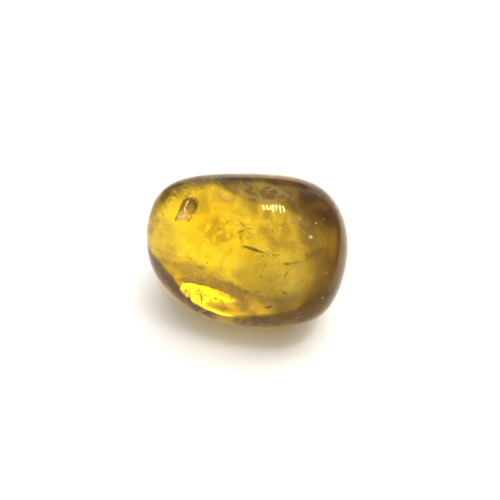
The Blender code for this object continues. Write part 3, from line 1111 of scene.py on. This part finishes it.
# %% Where the slivers are
OLIVE_SLIVERS = (
    ((-1.05, 0.55), (1.95, -0.40), 0.34, 2.5),
    ((4.15, -1.75), (5.30, -1.75), 0.30, 2.5),
    ((5.10, -1.75), (6.40, -1.45), 0.18, 2.5),
    ((2.15, -1.35), (1.50, -2.95), 0.09, 1.5),
    ((4.85, -2.65), (4.25, -3.50), 0.17, 2.0),
    ((-3.70, -4.10), (-1.30, -3.98), 0.10, 2.2),
    ((-3.30, -4.60), (-0.50, -4.52), 0.07, 2.2),
    ((-0.95, -5.15), (0.10, -5.35), 0.20, 2.4),
    ((0.40, -5.20), (1.60, -5.35), 0.14, 2.4),
    ((-8.20, -0.45), (-7.75, -1.10), 0.07, 1.5),
    ((-7.35, 0.15), (-8.05, -0.80), 0.05, 1.5),
    ((-10.10, 0.70), (-9.35, -0.30), 0.05, 1.0),
    ((-11.30, 1.85), (-10.80, 2.10), 0.07, 1.0),
    ((-10.70, 2.62), (-10.20, 2.60), 0.06, 1.0),
    ((-4.20, 3.00), (-3.60, 2.40), 0.10, 2.4),
    ((-1.70, 2.20), (-0.60, 2.55), 0.14, 2.6),
    ((-1.30, 3.60), (-0.70, 3.00), 0.12, 2.6),
    ((1.40, 2.70), (2.10, 2.55), 0.10, 2.4),
    ((3.95, -5.25), (4.75, -5.55), 0.26, 2.2),
    ((4.80, -5.40), (4.50, -6.20), 0.22, 2.2),
)  # from and to, each across and up, then width and depth, in millimetres
DARK_SLIVERS = (
    ((2.85, -0.55), (3.10, -0.62), 0.20, 1.5),
    ((1.30, -3.32), (1.55, -3.40), 0.22, 1.0),
    ((1.68, -3.62), (1.84, -3.66), 0.13, 1.0),
    ((1.75, -7.35), (2.95, -7.12), 0.26, 1.4),
    ((0.95, -7.40), (1.35, -7.28), 0.08, 1.4),
    ((-7.62, -1.05), (-7.40, -1.12), 0.14, 1.2),
    ((-5.48, -1.58), (-5.28, -1.66), 0.17, 1.2),
    ((-8.92, -2.22), (-8.72, -2.28), 0.13, 1.2),
    ((-9.60, -1.45), (-9.40, -1.62), 0.17, 1.2),
    ((-11.20, 4.35), (-11.15, 4.10), 0.09, 0.6),
    ((-10.10, 4.05), (-10.00, 4.00), 0.10, 0.6),
    ((-10.10, -2.60), (-9.60, -3.20), 0.10, 1.0),
    ((7.25, -6.45), (7.45, -6.65), 0.13, 1.0),
    ((6.90, -8.00), (7.10, -8.30), 0.13, 0.8),
    ((6.35, -0.60), (6.50, -0.70), 0.13, 1.4),
    ((7.05, -0.45), (7.20, -0.75), 0.13, 1.4),
    ((7.55, -0.55), (7.65, -0.75), 0.10, 1.4),
    ((-6.25, -4.90), (-6.05, -7.40), 0.13, 1.6),
    ((-7.85, -4.40), (-7.60, -5.10), 0.11, 1.6),
    ((-4.60, -6.10), (-4.05, -6.25), 0.20, 1.6),
    ((-3.70, -6.30), (-3.45, -6.45), 0.16, 1.6),
    ((-5.60, -6.70), (-5.40, -6.90), 0.12, 1.6),
    ((-8.30, 6.60), (-9.42, 3.70), 0.13, 0.25),
    ((-9.30, 4.30), (-9.46, 3.60), 0.16, 0.30),
    ((-7.50, 7.32), (-7.85, 6.92), 0.12, 0.30),
    ((-7.80, 6.95), (-8.30, 6.72), 0.12, 0.30),
)
PALE_SLIVERS_AND_GLINTS = (
    # The first fifteen are pale specks just under the polish: painted glints.
    ((6.08, 4.02), (6.34, 3.84), 0.28, 0.06),
    ((8.24, 3.46), (8.50, 3.30), 0.24, 0.06),
    ((7.54, 1.86), (7.76, 1.38), 0.34, 0.06),
    ((7.88, 1.80), (7.98, 1.48), 0.18, 0.06),
    ((0.50, 1.64), (0.60, 1.50), 0.19, 0.10),
    ((0.88, 1.12), (0.94, 1.00), 0.16, 0.10),
    ((8.72, 7.04), (8.82, 6.94), 0.16, 0.08),
    ((9.28, 4.00), (9.38, 3.88), 0.16, 0.08),
    ((-5.78, 8.72), (-5.68, 8.64), 0.16, 0.08),
    ((9.66, -2.80), (9.76, -2.90), 0.16, 0.10),
    ((6.88, -4.06), (6.98, -4.16), 0.16, 0.10),
    ((9.10, -5.98), (9.22, -6.12), 0.18, 0.10),
    ((5.86, -8.56), (5.96, -8.66), 0.16, 0.10),
    ((-10.54, -3.98), (-10.44, -4.10), 0.19, 0.10),
    ((-10.82, -3.88), (-10.72, -3.94), 0.14, 0.10),
    ((2.20, 7.40), (3.20, 7.90), 0.06, 0.8),
    ((1.45, -7.35), (1.48, -8.10), 0.08, 0.8),
    ((1.42, -9.05), (1.44, -9.30), 0.08, 0.4),
    ((-3.90, 8.70), (-4.10, 8.00), 0.05, 0.4),
    ((-7.68, 6.50), (-8.28, 5.40), 0.13, 0.10),
    ((-8.28, 5.45), (-8.32, 4.70), 0.15, 0.10),
)

# %% Make the slivers
slivers = [
    sliver_piece("olive_partings", OLIVE_FLAW, OLIVE_SLIVERS),
    sliver_piece("dark_specks", DARK_FLAW, DARK_SLIVERS),
    sliver_piece("pale_crack_edges_and_painted_glints", PALE_FLAW, PALE_SLIVERS_AND_GLINTS),
]

# %% [markdown]
# ## Studio
#
# A clear stone shows its surroundings more than itself, so each lamp has one job. A wide softbox
# overhead lights the floor to white, and the floor is what glows through the stone. A second one,
# behind and lower, throws the soft shadow forwards. Neither shows in the polish or through the stone.
# A small bright lamp behind shows through it, but not in the polish: its light goes in at the back, off
# the flat underside and out at the lower left of the front, where it makes the yellow glow.

# %% Lamps
LAMP_DISTANCE = 350 * MM
LAMPS = {
    "overhead_softbox": (70, 80, 0.40, 0.40, 0.75),
    "softbox_behind": (62, 40, 0.34, 0.24, 0.65),
    "glow_lamp": (105, 44.5, 0.150, 0.074, 0.118),
}  # heading, tilt, width and height in metres, watts


def panel(name, width, height, watts, place, turn):
    """A flat rectangular lamp, which shines along its own -Z."""
    data = bpy.data.lights.new(name, "AREA")
    data.shape = "RECTANGLE"
    data.size, data.size_y, data.energy = width, height, watts
    lamp = put(name, data)
    lamp.matrix_world = Matrix.Translation(place) @ turn
    return lamp


for name, (heading, tilt, width, height, watts) in LAMPS.items():
    out = direction(heading, tilt)
    turn = out.to_track_quat("Z", "Y").to_matrix().to_4x4()
    lamp = panel(name, width, height, watts, out * LAMP_DISTANCE, turn)
    lamp.visible_glossy = False
    lamp.visible_transmission = name == "glow_lamp"
print(len(LAMPS), "lamps,", round(LAMP_DISTANCE / MM), "mm away")

# %% [markdown]
# The polish mirrors a bank of seven narrow strips as a row of short white bars. Each strip is put where
# the skin mirrors it into its bar: the light is followed from the camera to both ends of the bar and
# on, and the strip is hung between the two rays.

# %% Strips that the polish mirrors
STRIP_DISTANCE = 300 * MM
STRIP_WIDTH = 2.2 * MM
STRIP_GLOW = 85.0  # watts per square metre and steradian
BARS = (
    ((1.64, 5.70), (1.88, 5.00)),
    ((2.09, 5.70), (2.31, 4.96)),
    ((2.50, 5.60), (2.67, 5.00)),
    ((2.92, 5.70), (2.99, 4.92)),
    ((3.29, 5.64), (3.42, 4.96)),
    ((3.74, 5.70), (3.97, 4.70)),
    ((4.15, 5.60), (4.37, 4.82)),
)  # each bar's upper and lower end, across and up in millimetres


def mirrored_from(across, up):
    """Where the light comes from that the skin mirrors to the camera at a place."""
    point, normal, ray = sight(across, up)
    return point + ray.reflect(normal) * STRIP_DISTANCE


for number, (upper, lower) in enumerate(BARS, start=1):
    first, last = mirrored_from(*upper), mirrored_from(*lower)
    length = (last - first).length
    area = STRIP_WIDTH * length
    middle = (first + last) / 2
    out = (middle - HEART).normalized()
    side = (last - first).cross(out).normalized()
    turn = Matrix((side, out.cross(side), out)).transposed().to_4x4()
    panel(f"strip_{number}", STRIP_WIDTH, length, STRIP_GLOW * pi * area, middle, turn)
print(len(BARS), "strips, the last one", round(length / MM), "mm long")

# %% [markdown]
# What is left is the room, and the sky stands for it: pale all over, with a few soft patches, each
# for something that the stone mirrors or shows bent. The dark ones make its brown rims, as the dark
# parts of a room do, and a dark card on the left makes the sharp-edged brown at the lower left.

# %% What stands in the sky
SKY_COLOUR = (1.0, 0.98, 0.95, 1)
SKY_LEVEL = 0.95  # of the sky away from the patches
PLAIN_LEVEL = 0.66  # of the sky where it is seen directly, past the far end of the floor
SKY_PATCHES = {
    "pale_behind": (105, 3, 14, 30, 1.25),
    "dark_behind": (95, 29, 11, 19, 0.12),
    "bright_panel": (136, 56, 5, 12, 1.35),
    "ceiling": (100, 78, 16, 28, 1.10),
    "dark_corner": (30, 26, 20, 38, 0.14),
    "who_holds_the_camera": (262, 26, 8, 24, 0.12),
}  # heading, tilt, the angle from there to where the patch is full and to where it ends, level
CARD_LEVEL = 0.12
CARD_MIDDLE, CARD_REACH = (162, 24), 30  # heading and tilt, and how many degrees it spans to each side
CARD_FADE = 10  # degrees over which its sides fade
CARD_EDGE = ((190, 30), (152, 37))  # heading and tilt of two places on its slanting top edge
CARD_EDGE_BLEND = (-0.02, 0.05)  # sines of the angles under that edge over which it fades in


def sky_disc(tree, way, heading, tilt, full, end):
    """1 within full degrees of a direction, 0 beyond end degrees."""
    facing = vector_calc(tree, "DOT_PRODUCT", way, direction(heading, tilt))
    return fade(tree, facing, cos(radians(end)), cos(radians(full)))


def towards(tree, share, level, goal):
    """A level moved towards another by a share."""
    return calc(tree, "MULTIPLY_ADD", share, calc(tree, "SUBTRACT", goal, level), level)


# %% Sky
scene = bpy.context.scene
world = bpy.data.worlds.new("studio")
scene.world = world
world.use_nodes = True
sky = world.node_tree
sky_way = sky.nodes.new("ShaderNodeTexCoord").outputs["Generated"]
sky_level = SKY_LEVEL
for heading, tilt, full, end, level in SKY_PATCHES.values():
    sky_level = towards(sky, sky_disc(sky, sky_way, heading, tilt, full, end), sky_level, level)
under_edge = direction(*CARD_EDGE[0]).cross(direction(*CARD_EDGE[1])).normalized()
under = fade(sky, vector_calc(sky, "DOT_PRODUCT", sky_way, under_edge), *CARD_EDGE_BLEND)
between_sides = sky_disc(sky, sky_way, *CARD_MIDDLE, CARD_REACH - CARD_FADE, CARD_REACH)
sky_level = towards(sky, calc(sky, "MULTIPLY", under, between_sides), sky_level, CARD_LEVEL)
# Seen directly, from a low side, the sky is as plain and pale as the far floor.
seen_directly = sky.nodes.new("ShaderNodeLightPath").outputs["Is Camera Ray"]
background = sky.nodes["Background"]
feed(sky, background.inputs["Strength"], towards(sky, seen_directly, sky_level, PLAIN_LEVEL))
background.inputs["Color"].default_value = SKY_COLOUR
print("Sky:", len(SKY_PATCHES), "patches and a card,", len(sky.nodes), "nodes")

# %% [markdown]
# The floor is one plain, matt sheet, just under the flat that the stone rests on, and so wide that the
# camera doesn't see its far end. A single square does, because it is flat.

# %% Floor
FLOOR_GAP = 0.03 * MM
FLOOR_REACH = 3.0  # metres to each side
FLOOR_COLOUR = (0.93, 0.905, 0.87, 1)
FLOOR_ROUGHNESS = 0.9

floor_mesh = bpy.data.meshes.new("floor")
floor_signs = ((-1, -1), (1, -1), (1, 1), (-1, 1))
floor_corners = [(x * FLOOR_REACH, y * FLOOR_REACH, -FLOOR_GAP) for x, y in floor_signs]
floor_mesh.from_pydata(floor_corners, [], [(0, 1, 2, 3)])
floor = put("floor", floor_mesh)
floor_paint = bpy.data.materials.new("white_floor")
tree, shader, where = new_material(floor_paint)
shader.inputs["Base Color"].default_value = FLOOR_COLOUR
shader.inputs["Roughness"].default_value = FLOOR_ROUGHNESS
shader.inputs["Specular IOR Level"].default_value = 0.0
floor_mesh.materials.append(floor_paint)
print("Floor", 2 * FLOOR_REACH, "m wide")

# %% [markdown]
# Light passes the stone's skin and its smoky zones many times before it comes out, so the renderer may
# follow it further than usual. The plain Standard view keeps the gold as it is, where a filmic one
# would grey it.

# %% Light and colour
BOUNCES = 16
SEE_THROUGHS = 48  # partly solid surfaces that a ray may pass

scene.view_settings.view_transform = "Standard"
scene.cycles.max_bounces = BOUNCES
scene.cycles.transmission_bounces = BOUNCES
scene.cycles.transparent_max_bounces = SEE_THROUGHS

# %% [markdown]
# The stone takes the place of the plain solid, and all that the crystal holds moves with it. Nothing
# here has a joint, so every piece rides on the one body, the root.

# %% Hand the pieces to the frame
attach(stone, "root")
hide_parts(STONE_NODE)
for flaw in zones + veils + slivers:
    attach(flaw, "root")
